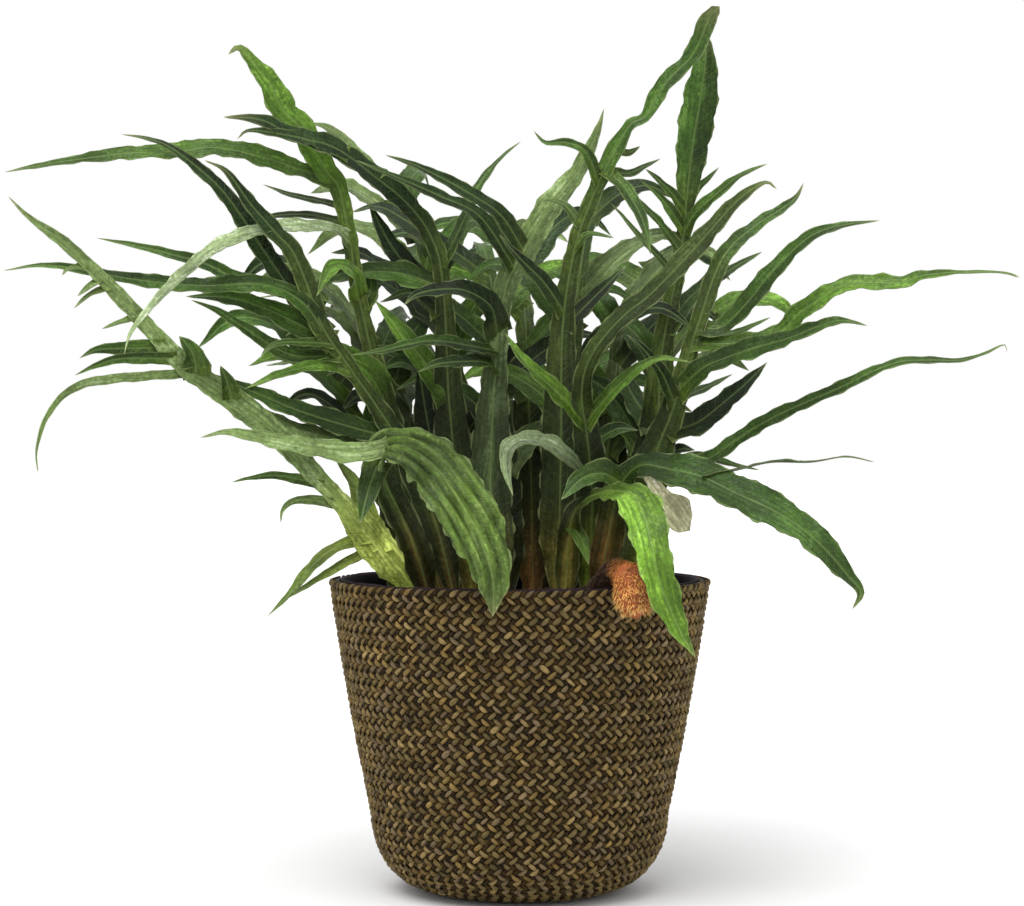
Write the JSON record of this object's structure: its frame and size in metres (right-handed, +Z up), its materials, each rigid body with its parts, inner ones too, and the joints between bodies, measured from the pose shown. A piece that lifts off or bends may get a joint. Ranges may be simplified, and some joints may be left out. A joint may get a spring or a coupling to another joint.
{
  "type": "potted crown basket fern",
  "caption": "Fern with long, narrow, waved leaf lobes and a furry creeping rhizome, growing in a round tapered basket of braided seagrass.",
  "frame": {"origin": "on the floor at the centre of the basket's base", "axes": "+Z up the basket's axis, -Y towards the front of the plant, +X to its right as seen from the front"},
  "size_m": [0.5753, 0.349, 0.5125],
  "materials": {
    "seagrass": "braided seagrass, khaki and dark brown strands, matte",
    "lining": "thin dark plastic film with a pale greyish edge",
    "soil": "dark crumbly potting mix",
    "rhizome_scales": "furry orange-brown scales",
    "leaf": "leathery green leaf, semi-gloss, with raised veins"
  },
  "bodies": {
    "root": {"basket": "seagrass", "liner": "lining", "potting_mix": "soil", "rhizome": "rhizome_scales", "frond_front_left": "leaf", "frond_bright": "leaf", "frond_low_right": "leaf", "frond_left_long": "leaf", "frond_front_centre": "leaf", "frond_left_mid": "leaf", "frond_upper_left": "leaf", "frond_centre_left": "leaf", "frond_grey": "leaf", "frond_tall": "leaf", "frond_upright_right": "leaf", "frond_right": "leaf", "frond_back_1": "leaf", "frond_back_2": "leaf", "frond_back_3": "leaf", "frond_back_4": "leaf", "frond_back_5": "leaf", "frond_back_6": "leaf", "frond_back_7": "leaf", "frond_back_8": "leaf", "frond_back_9": "leaf", "frond_back_10": "leaf", "frond_back_11": "leaf"}
  },
  "joints": []
}
